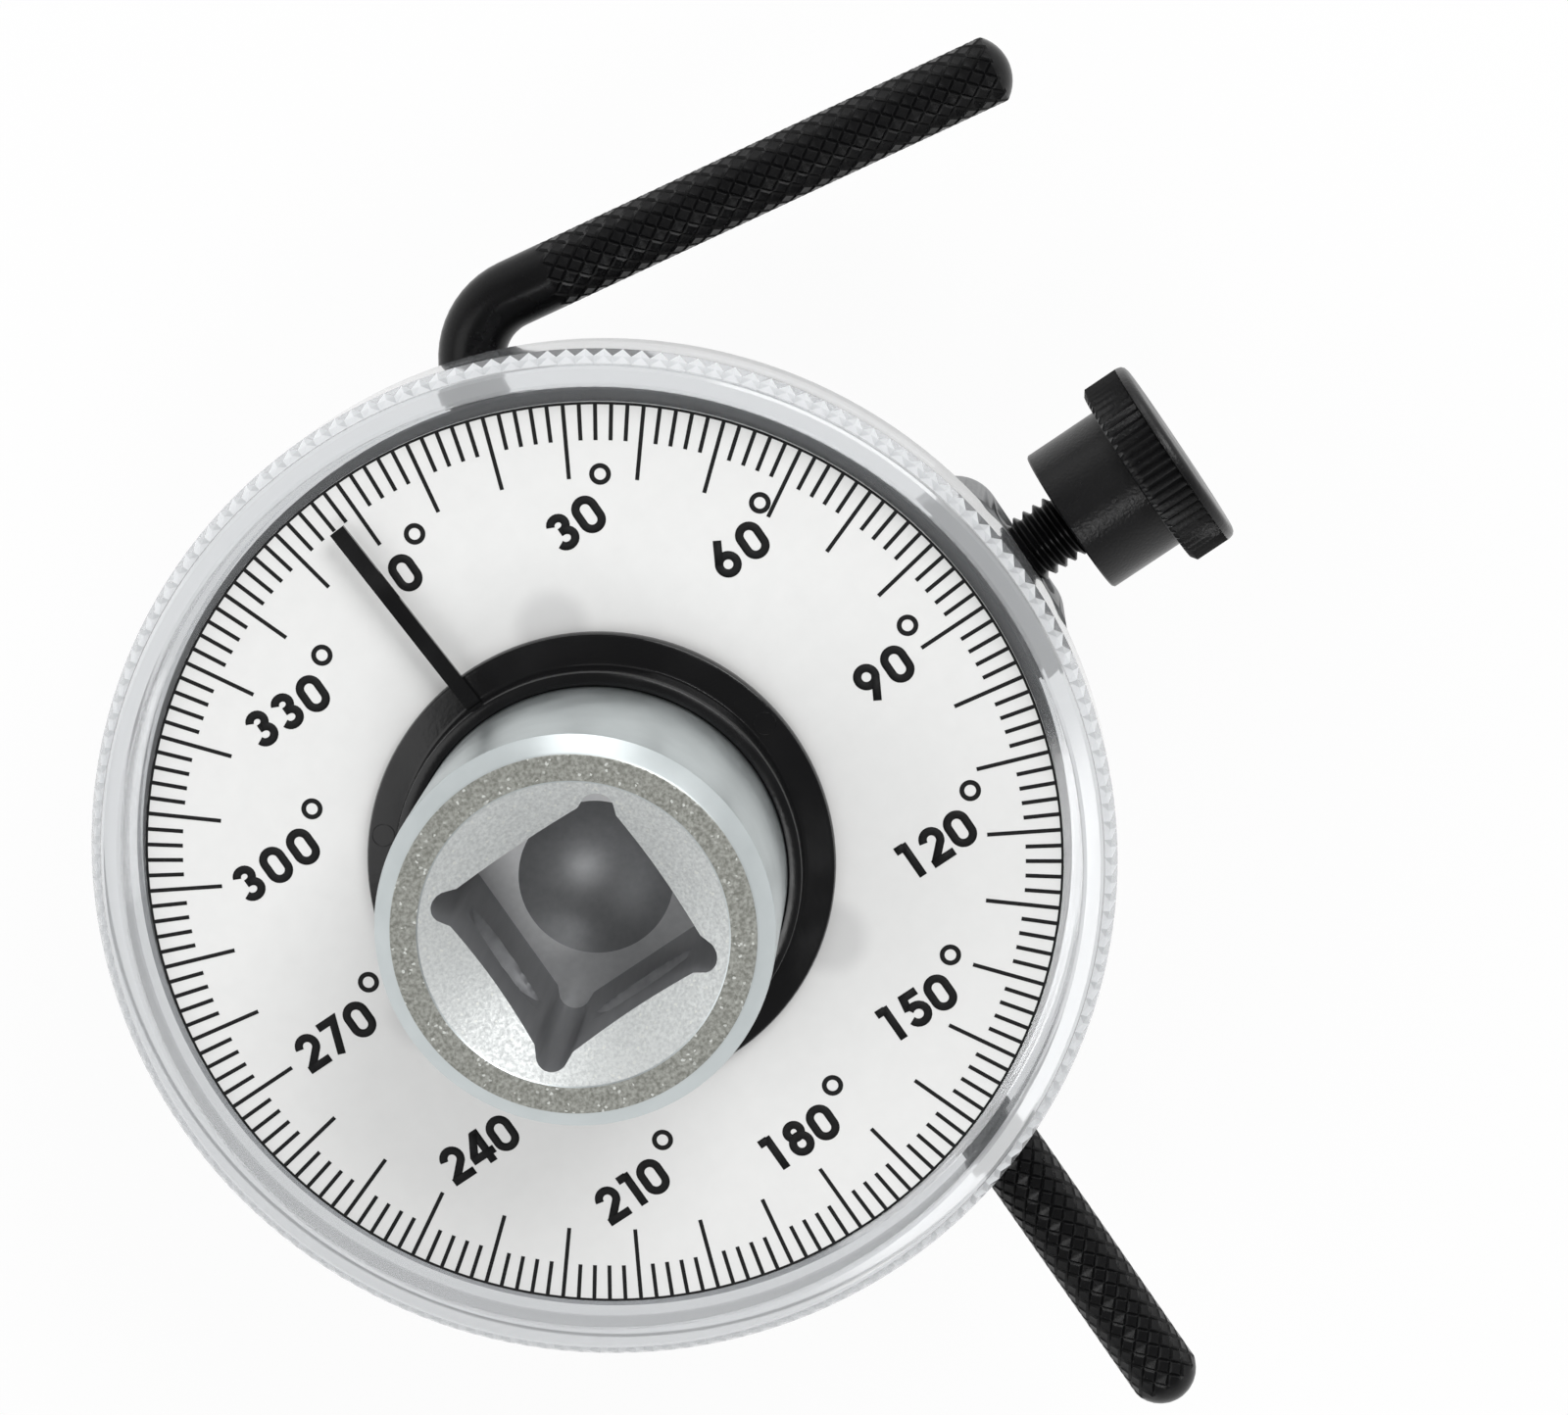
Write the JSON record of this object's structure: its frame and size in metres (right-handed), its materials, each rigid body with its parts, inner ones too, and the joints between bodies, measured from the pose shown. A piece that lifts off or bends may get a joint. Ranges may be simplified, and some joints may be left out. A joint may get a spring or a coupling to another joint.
{
  "type": "torque angle gauge",
  "caption": "Half-inch drive torque angle gauge with a settable clear-rimmed dial, pointer on the drive, thumbscrew clamp and L-shaped reaction arm.",
  "frame": {"origin": "centre of the end face of the male drive tang", "axes": "+Z along the drive axis, out of the female square; +X along the thumbscrew, towards its knob; +Y along the reaction arm, towards its bend"},
  "size_m": [0.0876, 0.0946, 0.0585],
  "materials": {
    "plated_steel": "satin plating",
    "black_plastic": "satin",
    "pointer_black": "satin",
    "spring_steel": "dark",
    "ball_steel": "polished",
    "grey_casting": "satin",
    "carrier_plastic": "satin",
    "screw_steel": "plated",
    "rubber_black": "matt",
    "bush_bronze": "sintered",
    "washer_steel": "plain",
    "insert_steel": "turned",
    "clear_plastic": "clear moulding",
    "dial_white": "printed",
    "black_oxide": "black oxide",
    "knob_plastic": "satin",
    "arm_black": "black oxide"
  },
  "bodies": {
    "drive": {"drive_spindle": "plated_steel", "pointer_hub": "black_plastic", "pointer_needle": "pointer_black", "retaining_clip": "spring_steel", "detent_spring": "spring_steel"},
    "ball": {"detent_ball": "ball_steel"},
    "housing": {"clamp_body": "grey_casting", "carrier_plate": "carrier_plastic", "dial_retainer": "carrier_plastic", "retainer_screws": "screw_steel", "friction_ring": "rubber_black", "front_bush": "bush_bronze", "rear_bush": "bush_bronze", "wave_washer": "spring_steel", "thrust_washer": "washer_steel", "stud_insert": "insert_steel"},
    "dial": {"setting_ring": "clear_plastic", "dial_face": "dial_white"},
    "stud": {"thumbscrew_stud": "black_oxide"},
    "knob": {"thumbscrew_knob": "knob_plastic"},
    "arm": {"reaction_arm": "arm_black"}
  },
  "joints": [
    {"name": "drive_turn", "type": "hinge", "parent": "drive", "child": "housing", "pos_m": [0, 0, 0.037], "axis": [0, 0, 1], "continuous": true},
    {"name": "ball_press", "type": "slide", "parent": "drive", "child": "ball", "axis": [-1, 0, 0], "range_m": [0, 0.0007], "stiffness_N_per_m": 4000, "springref_m": -0.001},
    {"name": "dial_set", "type": "hinge", "parent": "housing", "child": "dial", "pos_m": [0, 0, 0.037], "axis": [0, 0, 1], "continuous": true},
    {"name": "stud_travel", "type": "slide", "parent": "housing", "child": "stud", "axis": [1, 0, 0], "range_m": [0, 0.004]},
    {"name": "knob_turn", "type": "hinge", "parent": "stud", "child": "knob", "pos_m": [0.0385, 0, 0.0255], "axis": [1, 0, 0], "range_deg": [0, 1800]},
    {"name": "arm_slide", "type": "slide", "parent": "housing", "child": "arm", "axis": [0, 1, 0], "range_m": [-0.014, 0.034]}
  ],
  "couplings": [
    {"joint": "knob_turn", "follows": "stud_travel", "rad_per_m": 7854}
  ]
}
